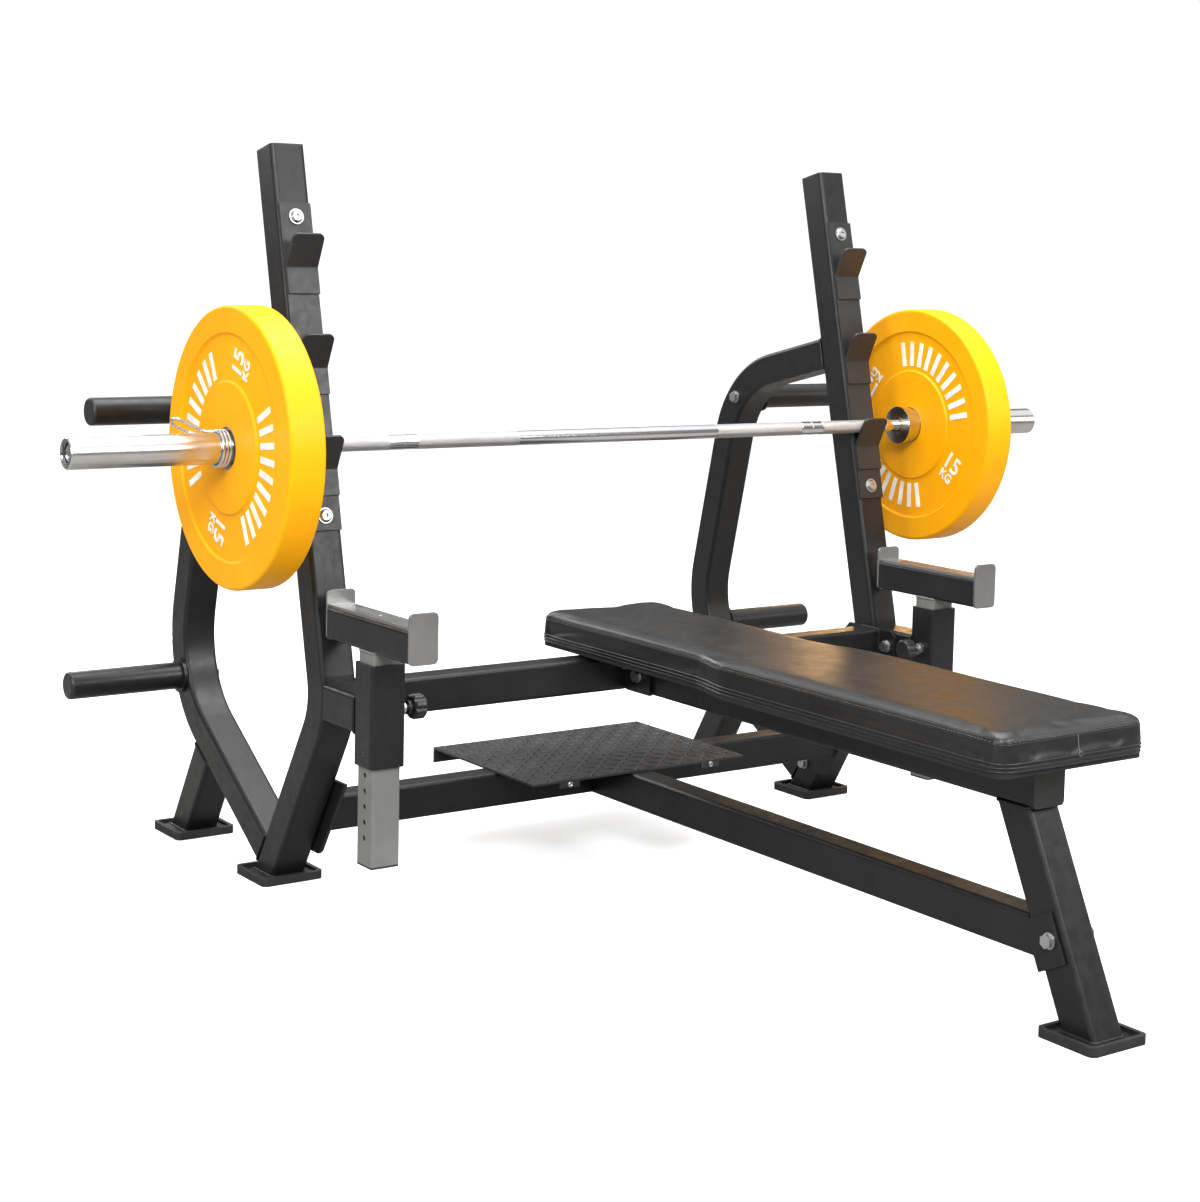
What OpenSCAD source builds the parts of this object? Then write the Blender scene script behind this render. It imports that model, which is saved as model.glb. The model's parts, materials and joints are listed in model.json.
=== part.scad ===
// Olympic bench press: a flat bench joined to two braced uprights, with racked hooks,
// sprung safety catches, plate storage horns, a standing plate and a loaded barbell.
// +Z is up, +X runs along the barbell, and the bench's foot end points to -Y.
// The origin is on the floor, in the middle of the footprint.

/* [Frame] */
// Distance from the middle of the bench to the middle of each side frame
side_x = 580; // [560:1:600]
// Outer size of the square frame tube
tube = 60; // [56:1:64]
// Wall thickness of the frame tubes
tube_wall = 3; // [2:0.5:4]
// Outer corner radius of the frame tubes
tube_r = 7; // [4:0.5:10]
// Depth of the rectangular crossbar tube, front to back
bar_tube = 50; // [44:1:54]
// Height of the uprights
upright_h = 1229; // [1200:1:1260]
// Backward lean of the uprights from the vertical
upright_lean = 13.3; // [12:0.1:14.5]
// Lean of the front and rear legs from the vertical
leg_lean = 31.5; // [30:0.1:33]
// Lean of the bench leg from the vertical
bench_lean = 25.6; // [24:0.1:27]
// Height where the middle lines of an upright and its leg meet
knee_z = 320; // [310:1:330]
// Middle bend radius at the knee
knee_bend = 125; // [122:1:135]
// Middle bend radius of the rear frame tube
rear_bend = 190; // [170:1:200]
// Top height of the bench rail and the upper crossbar
rail_top = 366; // [360:1:372]
// Top height of the lower crossbar and the lower beam
beam_top = 156; // [150:1:160]

/* [Feet] */
// Middle of the front feet, front to back
front_foot_y = 490; // [480:1:500]
// Middle of the rear feet, front to back
rear_foot_y = 837; // [830:1:845]
// Side of each rubber foot
foot = 110; // [104:1:116]
// Height of each rubber foot's rim
foot_h = 14; // [13:1:18]

/* [Hooks] */
// Number of bar positions on each upright
hook_count = 3; // [2:1:3]
// Distance between bar positions along the upright
hook_pitch = 166; // [160:1:170]
// Bend line of the lowest hook, along the upright from the knee
hook_first = 384; // [380:1:390]
// Width of the hook plates
hook_w = 56; // [50:1:58]
// Thickness of the rack strip and of the hook plates
hook_t = 5; // [4:0.5:6]
// Angle between each hook's lip and the upright
hook_angle = 39; // [36:1:42]
// Length of each hook's lip
lip_len = 58; // [50:1:64]

/* [Catches] */
// Middle of the catch posts, front to back
catch_y = 146; // [144:1:150]
// Outer size of the catch posts
post = 50; // [48:0.5:50]
// Distance between the post's pin holes
hole_pitch = 25; // [24:0.5:26]
// Number of pin holes in each post
hole_count = 9; // [7:1:9]
// Height of the pull pins
pin_z = 345; // [343:1:347]
// Radius of the pull pins
pin_r = 4; // [3.5:0.5:4]
// Length of each cradle over its end plates
cradle_len = 270; // [250:1:290]

/* [Bench] */
// Width of the pad at its foot end
pad_w = 296; // [280:1:310]
// Width of the pad at its head end
pad_head_w = 256; // [240:1:270]
// Length of the pad
pad_len = 1195; // [1180:1:1210]
// Height of the pad's top
pad_top = 432; // [428:1:440]

/* [Barbell] */
// Length of the barbell
bar_len = 2010; // [2000:5:2020]
// Radius of the barbell's grip shaft
bar_r = 12.5; // [12.5:0.5:13]
// Radius of the loading sleeves
sleeve_r = 25; // [24.5:0.5:25]
// Distance between the two inner sleeve flanges
grip_len = 1310; // [1305:1:1315]
// Radius of the bumper plates
plate_r = 225; // [215:1:225]
// Thickness of the bumper plates
plate_t = 60; // [50:1:60]

/* [Hidden] */
LEFT = -1;
RIGHT = 1;
$fn = 64;

// Feet: a steel plate pressed into a rubber cup
foot_floor = 3;
foot_plate_t = 6;
foot_plate = foot - 14;
leg_base = foot_floor + foot_plate_t;
bench_foot_y = -rear_foot_y;
feet = [
    [-side_x, front_foot_y], [side_x, front_foot_y],
    [-side_x, rear_foot_y], [side_x, rear_foot_y], [0, bench_foot_y]
];

// Side frame, in its own plane: the first number is the depth, the second the height
up = [sin(upright_lean), cos(upright_lean)];
front = [-cos(upright_lean), sin(upright_lean)];
leg_down = [sin(leg_lean), -cos(leg_lean)];
leg_up = -leg_down;
leg_back = [cos(leg_lean), sin(leg_lean)];
knee = [front_foot_y - (knee_z - leg_base) * tan(leg_lean), knee_z];
cap_t = 2.5;
// Hairline left between the straight and bent lengths of a tube or hook, so each is a solid
seam = 0.005;
upright_len = (upright_h - knee_z - tube / 2 * sin(upright_lean)) / cos(upright_lean) - cap_t;
upright_face = tube / 2 + hook_t;

// The front frame's tube runs down the upright and, after the knee, down the leg
knee_turn = upright_lean + leg_lean;
knee_back = knee_bend * tan(knee_turn / 2);
front_start = knee + (neat(upright_len - knee_back) + knee_back) * up;
front_run = [[neat(upright_len - knee_back), knee_bend, knee_turn], [380]];

// The rear frame's tube leaves the front leg, climbs, and bends over to the upright
rear_top = [745, 810];
rear_up = [-sin(upright_lean), cos(upright_lean)];
rear_in = [-cos(upright_lean), -sin(upright_lean)];
rear_root = knee + (knee_z - 34) / cos(leg_lean) * leg_down;
rear_low = crossing(rear_top, rear_up, rear_root, leg_back);
low_turn = 90 + upright_lean - leg_lean;
top_turn = 90 - 2 * upright_lean;
low_back = rear_bend * tan(low_turn / 2);
top_back = rear_bend * tan(top_turn / 2);
rear_start = rear_root + tube / 2 * leg_back;
rear_run = [
    [neat(norm(rear_low - rear_start) - low_back), rear_bend, low_turn],
    [neat(norm(rear_top - rear_low) - low_back - top_back), rear_bend, top_turn],
    [neat((rear_top - knee) * -front - tube / 2 - top_back)]
];

// Plate horns, on the outer sides of the rear frame's two bends
horn_r = 24;
horn_tip_x = 820;
horn_flange_r = 30.5;
horn_flange_t = 6;
horns = [
    rear_top - top_back * rear_up + rear_bend * (rear_in + [cos(40), sin(40)]),
    rear_low - low_back * leg_back + rear_bend * (leg_up + [cos(24), -sin(24)])
];

// Crossbars and the plates that bolt them to the side frames
joint_plate_t = 6;
joint_y = [212, 357];
upper_front = 258;
upper_bolts = [[236, rail_top - tube / 2], [320, rail_top - tube / 2]];
lower_front = 376;
lower_bolts = [[469, 66], [376, 172]];
lower_plate = [52, 188];
bolt_r = 6;
bolt_gap = 0.3;
hex_af = 18;
washer_r = 12;
washer_t = 2;
head_t = 7.5;
hex_head_l = washer_t + head_t;

// Bench rail and leg
rail_front = -735;
rail_bracket_len = 70;
rail_bracket_t = 6;
rail_bolt = [upper_front - 34, rail_top - tube / 2];
beam_bracket = [50, 74];
beam_bracket_t = 5;
bench_up = [sin(bench_lean), cos(bench_lean)];
bench_front = [-cos(bench_lean), sin(bench_lean)];
beam_mid = bench_base() + (beam_top - tube / 2 + 4 - leg_base) / cos(bench_lean) * bench_up;
beam_bolt = beam_mid + 4 * bench_front;

// Rack hooks, along the upright from the knee
rack_s = [286, 826];
rack_bolt_s = [310, 803];
hook_s = [for (i = [0:hook_count - 1]) hook_first + i * hook_pitch];
hook_flange = 42;
hook_bend = 5;
lip_corner = 10;
bar_gap = 0.3;
bar_out = bar_r + bar_gap;
hook_root = (hook_bend + hook_t) * tan(hook_angle / 2);
bar_up = hook_root + bar_out / tan(hook_angle / 2);
bar_at = knee + (hook_first + bar_up) * up + (upright_face + bar_out) * front;

// Safety catches
socket_z = [259, 421];
arm_z = rail_top - tube / 2;
liner_t = 1.7;
post_wall = 2.5;
post_r = 5;
post_bottom = 103;
cradle_bottom = 440;
cradle_h = 50;
cradle_plate_t = 4;
cradle_plate_z = [438, 518];
cradle_corner = 8;
strip_w = 40;
strip_t = 5;
screw_z = [279, 401];
hole_r = pin_r + 0.5;
bush_af = 19;
bush_l = 14;
bush_hex_l = 8;
bush_r = 8;
pin_clear = 0.05;
pin_tip_x = side_x - post / 2 + 7;
knob_r = 20;
knob_l = 28;
knob_x = side_x - tube / 2 - bush_l - 4;
knob_lobes = 8;

// Pad, from its foot end at -Y to its head end
pad_front = -789;
taper_y = [-156, -60];
pad_corner = 22;
board_t = 12;
bracket_t = 5;
board_z = rail_top + bracket_t;
board_inset = 6;
pad_skirt = 3;
pad_bracket_y = [-560, -150, 180];
pad_bracket = [220, 60];
pad_screw_x = 90;

// Standing plate
stand_w = 450;
stand_y = [256, 595];
stand_t = 4;
stand_lip = 28;
stand_front_lip = 10;
stand_bolt_x = 150;

// Barbell
flange_x = grip_len / 2;
flange_t = 8;
flange_r = 36;
collar_r = 33;
load_x = flange_x + 30;
sleeve_end = bar_len / 2;
bush_bore = bar_r + 0.05;
bush_out = 16;
sleeve_bush_l = 40;
end_recess = 14;
end_recess_r = 19.5;
shaft_end = sleeve_end - 5;
ring_t = 2.5;
groove_d = 1.2;
plate_x = load_x + 0.5;
hub_r = 34;
hub_bore = sleeve_r + 0.2;
plate_rings = [104, 182];
plate_dish = 4;
plate_round = 6;
collar_x = plate_x + plate_t + 0.5;
wire_r = 2.9;
collar_turns = 4;
collar_gap = 0.08;
handle_len = 62;
handle_rise = 42;
handle_turns = [[140, -1], [80, 1]];

// Where two lines in a plane cross, each given by a point and a direction
function crossing(p, d, q, e) =
    let (k = ((q[0] - p[0]) * e[1] - (q[1] - p[1]) * e[0]) / (d[0] * e[1] - d[1] * e[0])) p + k * d;
function neat(x) = round(x * 100) / 100;
function bench_base() = [bench_foot_y, leg_base];
function leg_axis_y(z) = front_foot_y - (z - leg_base) * tan(leg_lean);
function corner_arc(x, y, r, from) =
    [for (i = [0:6]) [x + r * cos(from + 15 * i), y + r * sin(from + 15 * i)]];

// Puts children drawn in the side plane (depth, height, outward X) on one side frame
module side_plane(x = 0) {
    translate([x, 0, 0]) rotate([90, 0, 90]) children();
}

module mirrored(side) {
    mirror([side == LEFT ? 1 : 0, 0, 0]) children();
}

module both_sides() {
    for (side = [LEFT, RIGHT]) mirrored(side) children();
}

module rounded_rect(w, h, r) {
    union() {
        square([w - 2 * r, h], center = true);
        square([w, h - 2 * r], center = true);
        for (x = [-1, 1], y = [-1, 1])
            translate([x * (w / 2 - r), y * (h / 2 - r)]) circle(r);
    }
}

module tube_profile(w, h, wall, r) {
    difference() {
        rounded_rect(w, h, r);
        rounded_rect(w - 2 * wall, h - 2 * wall, r - wall);
    }
}

module frame_profile() {
    tube_profile(tube, tube, tube_wall, tube_r);
}

// Sweeps a flat shape from the origin along +X, through [length, bend radius, turn] steps
module sweep(steps, i = 0) {
    step = steps[i];
    union() {
        translate([seam, 0, 0]) rotate([90, 0, 90])
            linear_extrude(step[0] - 2 * seam) children();
        if (len(step) > 1) translate([step[0], step[1], 0]) rotate([0, 0, -90])
            rotate_extrude(angle = step[2]) translate([step[1], 0]) children();
        if (i < len(steps) - 1) translate([step[0], 0, 0]) past_bend(step)
            sweep(steps, i + 1) children();
    }
}

// Places children where a bend that starts at the origin ends
module past_bend(step) {
    translate([0, step[1], 0]) rotate([0, 0, step[2]]) translate([0, -step[1], 0]) children();
}

// A tube along +Y, from y = from to y = to
module y_tube(w, h, from, to, wall = tube_wall, r = tube_r) {
    translate([0, from, 0]) rotate([-90, 0, 0])
        linear_extrude(to - from) tube_profile(w, h, wall, r);
}

// A hexagon bolt along +X from x = 0, with its head and washer on the -X side
module hex_bolt(shank) {
    rotate([0, 90, 0]) union() {
        translate([0, 0, -hex_head_l]) cylinder(h = head_t, r = hex_af / 2 / cos(30), $fn = 6);
        translate([0, 0, -washer_t]) cylinder(h = washer_t, r = washer_r);
        cylinder(h = shank, r = bolt_r);
    }
}

module bolt_hole(from, to) {
    translate([from, 0, 0]) rotate([0, 90, 0]) cylinder(h = to - from, r = bolt_r + bolt_gap);
}

// Drills X-wise holes in a right-hand piece at side-plane points
module drill_x(points, from, to) {
    for (p = points) translate([0, p[0], p[1]]) bolt_hole(from, to);
}

module cut_below(z) {
    translate([-1000, -1500, z - 200]) cube([2000, 3000, 200]);
}

// The upright's own axes, from the knee: +X up the tube, +Y out of its front, +Z outward
module on_upright() {
    side_plane(side_x) translate(concat(knee, 0)) rotate([0, 0, 90 - upright_lean]) children();
}

// A hole or bolt along +Y on the upright, at distance s from the knee
module across_upright(s) {
    on_upright() translate([s, tube / 2, 0]) rotate([-90, 0, 0]) children();
}

/* Side frames */

module front_frame(side) {
    color("#2b2c2e") mirrored(side) difference() {
        side_plane(side_x) translate(concat(front_start, 0)) rotate([0, 0, -90 - upright_lean])
            sweep(front_run) frame_profile();
        cut_below(leg_base);
        drill_x([upper_bolts[1]], side_x - tube, side_x);
        drill_x(lower_bolts, side_x - tube, side_x);
        for (s = rack_bolt_s) across_upright(s)
            translate([0, 0, -tube / 3]) cylinder(h = tube / 2, r = bolt_r + bolt_gap);
    }
}

module rear_frame(side) {
    color("#2b2c2e") mirrored(side) difference() {
        side_plane(side_x) translate(concat(rear_start, 0)) rotate([0, 0, leg_lean])
            sweep(rear_run) frame_profile();
        drill_x(horns, side_x - tube, side_x + tube);
    }
}

module rear_leg(side) {
    start = [rear_foot_y, leg_base] + 40 * leg_down;
    top = crossing(start, leg_down, rear_root + tube / 2 * leg_down, leg_back);
    color("#2b2c2e") mirrored(side) difference() {
        side_plane(side_x) translate(concat(start, 0)) rotate([0, 0, 90 + leg_lean])
            rotate([90, 0, 90]) linear_extrude(norm(top - start)) frame_profile();
        cut_below(leg_base);
    }
}

module catch_arm(side) {
    color("#2b2c2e") mirrored(side) difference() {
        translate([side_x, 0, arm_z]) y_tube(tube, tube, catch_y + tube / 2, knee[0] - 6);
        side_plane(side_x) translate(concat(knee + knee_back * up, 0))
            rotate([0, 0, -90 - upright_lean]) translate([0, knee_bend, 0]) rotate([0, 0, -90])
            rotate_extrude(angle = knee_turn)
            translate([knee_bend, 0]) square([tube, tube + 2], center = true);
        drill_x([upper_bolts[0]], side_x - tube, side_x);
    }
}

/* Crossbars */

module joint_plate(points) {
    translate([side_x - tube / 2 - joint_plate_t, 0, 0]) rotate([90, 0, 90])
        linear_extrude(joint_plate_t) polygon(points);
}

module upper_crossbar() {
    half = side_x - tube / 2 - joint_plate_t;
    mid_y = upper_front + bar_tube / 2;
    low = rail_top - tube;
    cut = 12;
    color("#2b2c2e") union() {
        translate([-half, mid_y, rail_top - tube / 2]) rotate([90, 0, 90])
            linear_extrude(2 * half) tube_profile(bar_tube, tube, tube_wall, tube_r);
        both_sides() difference() {
            joint_plate([
                [joint_y[0] + cut, low], [joint_y[1] - cut, low], [joint_y[1], low + cut],
                [joint_y[1], rail_top - cut], [joint_y[1] - cut, rail_top],
                [joint_y[0] + cut, rail_top], [joint_y[0], rail_top - cut], [joint_y[0], low + cut]
            ]);
            drill_x(upper_bolts, side_x - tube, side_x);
        }
        both_sides() difference() {
            translate([tube / 2, upper_front - rail_bracket_len, low])
                cube([rail_bracket_t, rail_bracket_len, tube]);
            drill_x([rail_bolt], 0, tube);
        }
    }
}

module lower_crossbar() {
    half = side_x - tube / 2 - joint_plate_t;
    ahead = 64;
    behind = 34;
    color("#2b2c2e") union() {
        translate([-half, lower_front + bar_tube / 2, beam_top - tube / 2]) rotate([90, 0, 90])
            linear_extrude(2 * half) tube_profile(bar_tube, tube, tube_wall, tube_r);
        both_sides() difference() {
            joint_plate([
                [leg_axis_y(lower_plate[0]) - ahead, lower_plate[0] + 6],
                [leg_axis_y(lower_plate[0]) - ahead + 8, lower_plate[0]],
                [leg_axis_y(lower_plate[0]) + behind, lower_plate[0]],
                [leg_axis_y(lower_plate[1]) + behind, lower_plate[1]],
                [leg_axis_y(lower_plate[1]) - ahead, lower_plate[1]]
            ]);
            drill_x(lower_bolts, side_x - tube, side_x);
        }
    }
}

/* Rack hooks */

// One hook, on the upright's axes, with its bend line at the origin
module hook() {
    bend = [hook_flange, hook_bend + hook_t / 2, hook_angle];
    translate([-hook_flange, hook_t / 2, 0]) union() {
        sweep([bend]) square([hook_t, hook_w], center = true);
        translate([hook_flange, 0, 0]) past_bend(bend) translate([seam, hook_t / 2, 0])
            rotate([90, 0, 0]) linear_extrude(hook_t) lip_outline();
    }
}

module lip_outline() {
    union() {
        translate([0, -hook_w / 2]) square([lip_len - lip_corner, hook_w]);
        translate([0, lip_corner - hook_w / 2]) square([lip_len, hook_w - 2 * lip_corner]);
        for (y = [-1, 1])
            translate([lip_len - lip_corner, y * (hook_w / 2 - lip_corner)]) circle(lip_corner);
    }
}

module hook_rack(side) {
    color("#343536") mirrored(side) difference() {
        on_upright() union() {
            translate([rack_s[0], tube / 2 + seam, -hook_w / 2])
                cube([rack_s[1] - rack_s[0], hook_t - seam, hook_w]);
            for (s = hook_s) translate([s, upright_face, 0]) hook();
        }
        for (s = rack_bolt_s) across_upright(s)
            translate([0, 0, -1]) cylinder(h = hook_t + 2, r = bolt_r + bolt_gap);
    }
}

module button_bolts() {
    head_r = 11;
    color("#c8c9ca") both_sides() for (s = rack_bolt_s) across_upright(s) difference() {
        union() {
            translate([0, 0, -tube / 4]) cylinder(h = tube / 4 + hook_t, r = bolt_r);
            translate([0, 0, hook_t]) cylinder(h = washer_t, r = washer_r + 1);
            translate([0, 0, hook_t + washer_t]) cylinder(h = 5, r1 = head_r, r2 = head_r - 3);
        }
        translate([0, 0, hook_t + washer_t + 1.5]) cylinder(h = 6, r = 3.5, $fn = 6);
    }
}

/* Safety catches */

module catch_socket(side) {
    color("#2b2c2e") mirrored(side) difference() {
        translate([side_x, catch_y, socket_z[0]])
            linear_extrude(socket_z[1] - socket_z[0]) frame_profile();
        translate([side_x - tube, catch_y, pin_z]) rotate([0, 90, 0])
            cylinder(h = tube, r = bush_r);
        for (z = screw_z) translate([side_x, catch_y, z]) rotate([0, 90, 0])
            cylinder(h = tube, r = 4);
    }
}

module socket_liners() {
    outer = tube - 2 * tube_wall;
    color("#1b1b1c") both_sides() difference() {
        translate([side_x, catch_y, socket_z[0]]) linear_extrude(socket_z[1] - socket_z[0])
            tube_profile(outer, outer, liner_t, tube_r - tube_wall);
        translate([side_x - tube, catch_y, pin_z]) rotate([0, 90, 0])
            cylinder(h = tube, r = bush_r);
    }
}

module liner_set_screws() {
    color("#55565a") both_sides() for (z = screw_z)
        translate([side_x + tube / 2 - tube_wall, catch_y, z]) rotate([0, 90, 0]) difference() {
            cylinder(h = tube_wall - 0.6, r = 4);
            translate([0, 0, 0.8]) cylinder(h = tube_wall, r = 2, $fn = 6);
        }
}

module pin_bushes() {
    face = side_x - tube / 2;
    through = tube_wall + liner_t;
    color("#d0d1d2") both_sides() translate([face, catch_y, pin_z]) rotate([0, 90, 0]) difference() {
        union() {
            translate([0, 0, -bush_l]) cylinder(h = bush_l + through, r = bush_r);
            translate([0, 0, -bush_hex_l]) cylinder(h = bush_hex_l, r = bush_af / 2 / cos(30), $fn = 6);
        }
        translate([0, 0, -bush_l - 1]) cylinder(h = bush_l + through + 2, r = pin_r + pin_clear);
    }
}

module catch_post(side) {
    color("#a9a9a7") mirrored(side) difference() {
        translate([side_x, catch_y, post_bottom]) linear_extrude(cradle_bottom - post_bottom)
            tube_profile(post, post, post_wall, post_r);
        for (i = [0:hole_count - 1])
            translate([side_x - post, catch_y, pin_z - i * hole_pitch]) rotate([0, 90, 0])
                cylinder(h = 2 * post, r = hole_r);
    }
}

module post_plug(side) {
    inside = post - 2 * post_wall - 0.4;
    color("#161616") mirrored(side) translate([side_x, catch_y, post_bottom]) union() {
        translate([0, 0, -3]) linear_extrude(3) rounded_rect(post, post, post_r);
        linear_extrude(14) rounded_rect(inside, inside, post_r - post_wall);
    }
}

module catch_cradle(side) {
    length = cradle_len - 2 * cradle_plate_t;
    color("#3c3d40") mirrored(side) translate([side_x, catch_y - length / 2, cradle_bottom + cradle_h / 2])
        y_tube(post, cradle_h, 0, length, post_wall, post_r);
}

// The wear strip on top of a cradle and the raised plates that close its ends
module cradle_plates(side) {
    length = cradle_len - 2 * cradle_plate_t;
    plate_h = cradle_plate_z[1] - cradle_plate_z[0];
    screws = [-100, 0, 100];
    color("#b4b4b1") mirrored(side) translate([side_x, catch_y, 0]) union() {
        difference() {
            translate([-strip_w / 2, -length / 2, cradle_bottom + cradle_h])
                cube([strip_w, length, strip_t]);
            for (y = screws) translate([0, y, cradle_bottom + cradle_h + strip_t - 2])
                cylinder(h = 3, r = 5);
        }
        for (y = [-length / 2, length / 2 + cradle_plate_t])
            translate([0, y, cradle_plate_z[0] + plate_h / 2]) rotate([90, 0, 0])
                linear_extrude(cradle_plate_t) rounded_rect(post, plate_h, cradle_corner);
    }
}

module pull_pin(side) {
    reach = pin_tip_x - knob_x + knob_l / 2;
    tip = 2.5;
    color("#c4c5c6") mirrored(side) translate([pin_tip_x, catch_y, pin_z]) rotate([0, -90, 0])
        union() {
            cylinder(h = tip, r1 = pin_r - 1.2, r2 = pin_r);
            translate([0, 0, tip]) cylinder(h = reach - tip, r = pin_r);
        }
}

module pull_knob(side) {
    neck_l = 6;
    neck_r = 11;
    color("#141414") mirrored(side) translate([knob_x, catch_y, pin_z]) rotate([0, -90, 0])
        difference() {
            union() {
                cylinder(h = neck_l, r = neck_r);
                translate([0, 0, neck_l]) cylinder(h = 3, r1 = knob_r - 3, r2 = knob_r);
                translate([0, 0, neck_l + 3]) cylinder(h = knob_l - neck_l - 6, r = knob_r);
                translate([0, 0, knob_l - 3]) cylinder(h = 3, r1 = knob_r, r2 = knob_r - 3);
            }
            for (i = [0:knob_lobes - 1]) rotate([0, 0, 360 / knob_lobes * i])
                translate([knob_r + 2.5, 0, neck_l - 1]) cylinder(h = knob_l, r = 5);
            translate([0, 0, -1]) cylinder(h = knob_l / 2 + 1, r = pin_r);
        }
}

/* Storage horns */

module horn(side, i) {
    root = side_x + tube / 2;
    color("#1f1f20") mirrored(side) translate([root, horns[i][0], horns[i][1]])
        rotate([0, 90, 0]) difference() {
            union() {
                cylinder(h = horn_flange_t, r = horn_flange_r);
                cylinder(h = horn_tip_x - root - 6, r = horn_r);
            }
            translate([0, 0, horn_flange_t]) cylinder(h = 300, r = horn_r - 3);
            translate([0, 0, -1]) cylinder(h = 20, r = bolt_r + bolt_gap);
        }
}

module horn_caps() {
    round = 5;
    color("#121212") both_sides() for (p = horns)
        translate([horn_tip_x - 6, p[0], p[1]]) rotate([0, 90, 0]) rotate_extrude() union() {
            translate([0, -14]) square([horn_r - 3.2, 14]);
            square([horn_r - round, round]);
            square([horn_r, 1]);
            translate([horn_r - round, 1]) intersection() {
                circle(round);
                square([round, round]);
            }
            translate([0, 1]) square([horn_r - round, round]);
        }
}

module hex_bolts() {
    inner_face = side_x - tube / 2;
    plate_face = inner_face - joint_plate_t;
    color("#bcbdbe") union() {
        both_sides() {
            for (p = concat(upper_bolts, lower_bolts)) translate([plate_face, p[0], p[1]])
                hex_bolt(joint_plate_t + tube_wall + 8);
            for (p = horns) translate([inner_face, p[0], p[1]]) hex_bolt(tube + horn_flange_t + 12);
        }
        both_sides() mirror([1, 0, 0]) {
            translate([-tube / 2 - rail_bracket_t, rail_bolt[0], rail_bolt[1]])
                hex_bolt(rail_bracket_t + tube_wall + 8);
            translate([-tube / 2 - beam_bracket_t, beam_bolt[0], beam_bolt[1]])
                hex_bolt(beam_bracket_t + tube_wall + 8);
        }
    }
}

/* Bench */

module bench_rail() {
    color("#2b2c2e") difference() {
        translate([0, 0, rail_top - tube / 2]) y_tube(tube, tube, rail_front, upper_front);
        drill_x([rail_bolt], -tube, tube);
    }
}

module bench_leg() {
    start = bench_base() - 60 * bench_up;
    color("#2b2c2e") difference() {
        side_plane() translate(concat(start, 0)) rotate([0, 0, 90 - bench_lean])
            rotate([90, 0, 90]) linear_extrude(520) frame_profile();
        cut_below(leg_base);
        translate([-100, -1000, rail_top - tube]) cube([200, 1000, 400]);
        drill_x([beam_bolt], -tube, tube);
    }
}

module lower_beam() {
    face = tube / 2;
    depth = beam_bracket[0];
    tall = beam_bracket[1];
    color("#2b2c2e") union() {
        difference() {
            translate([0, 0, beam_top - tube / 2])
                y_tube(bar_tube, tube, bench_foot_y, lower_front);
            side_plane() translate(concat(beam_mid, 0)) rotate([0, 0, 90 - bench_lean])
                translate([-300, -face - beam_bracket_t, -100]) cube([600, 300, 200]);
        }
        difference() {
            side_plane() translate(concat(beam_mid, 0))
                rotate([0, 0, 90 - bench_lean]) union() {
                    translate([-tall / 2, -face - beam_bracket_t, -face - beam_bracket_t])
                        cube([tall, beam_bracket_t, tube + 2 * beam_bracket_t]);
                    for (x = [-face - beam_bracket_t, face])
                        translate([-tall / 2, -face - beam_bracket_t, x])
                            cube([tall, depth + beam_bracket_t, beam_bracket_t]);
                }
            drill_x([beam_bolt], -tube, tube);
        }
    }
}

module pad_brackets() {
    color("#2b2c2e") for (y = pad_bracket_y) difference() {
        translate([-pad_bracket[0] / 2, y - pad_bracket[1] / 2, rail_top])
            cube([pad_bracket[0], pad_bracket[1], bracket_t]);
        for (x = [-pad_screw_x, pad_screw_x]) translate([x, y, rail_top - 1])
            cylinder(h = bracket_t + 2, r = 4.3);
    }
}

// Pad outline: wide at the foot end, narrower past the taper, round corners
module pad_outline(inset = 0) {
    w = pad_w / 2 - inset;
    h = pad_head_w / 2 - inset;
    y0 = pad_front + inset;
    y1 = pad_front + pad_len - inset;
    r = pad_corner - inset;
    polygon(concat(
        corner_arc(w - r, y0 + r, r, -90), [[w, taper_y[0]], [h, taper_y[1]]],
        corner_arc(h - r, y1 - r, r, 0), corner_arc(r - h, y1 - r, r, 90),
        [[-h, taper_y[1]], [-w, taper_y[0]]], corner_arc(r - w, y0 + r, r, 180)
    ));
}

module pad_board() {
    color("#5c4632") translate([0, 0, board_z]) difference() {
        linear_extrude(board_t) pad_outline(board_inset);
        for (y = pad_bracket_y, x = [-pad_screw_x, pad_screw_x]) translate([x, y, -1])
            cylinder(h = board_t - 2, r = 4);
    }
}

module pad_cushion() {
    color("#17181a") difference() {
        translate([0, 0, board_z + pad_skirt])
            linear_extrude(pad_top - board_z - pad_skirt) pad_outline();
        translate([0, 0, board_z - 1]) linear_extrude(board_t + 1) pad_outline(board_inset);
    }
}

module pad_screws() {
    color("#bcbdbe") for (y = pad_bracket_y, x = [-pad_screw_x, pad_screw_x])
        translate([x, y, rail_top]) union() {
            translate([0, 0, -5]) cylinder(h = 5, r = 6.5 / cos(30), $fn = 6);
            cylinder(h = bracket_t + board_t - 4, r = 3.9);
        }
}

/* Standing plate and feet */

module standing_plate() {
    color("#3a3a3b") union() {
        translate([-stand_w / 2, stand_y[0], beam_top])
            cube([stand_w, stand_y[1] - stand_y[0], stand_t]);
        translate([-stand_w / 2, stand_y[1] - stand_t, beam_top + stand_t - stand_lip])
            cube([stand_w, stand_t, stand_lip]);
        for (x = [-1, 1]) translate([x * (stand_bolt_x), stand_y[0] + 14, beam_top - stand_front_lip])
            translate([-20, -14, 0]) cube([40, stand_t, stand_front_lip]);
    }
}

module foot_plates() {
    color("#262627") for (p = feet) translate([p[0], p[1], foot_floor])
        linear_extrude(foot_plate_t) rounded_rect(foot_plate, foot_plate, 6);
}

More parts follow.
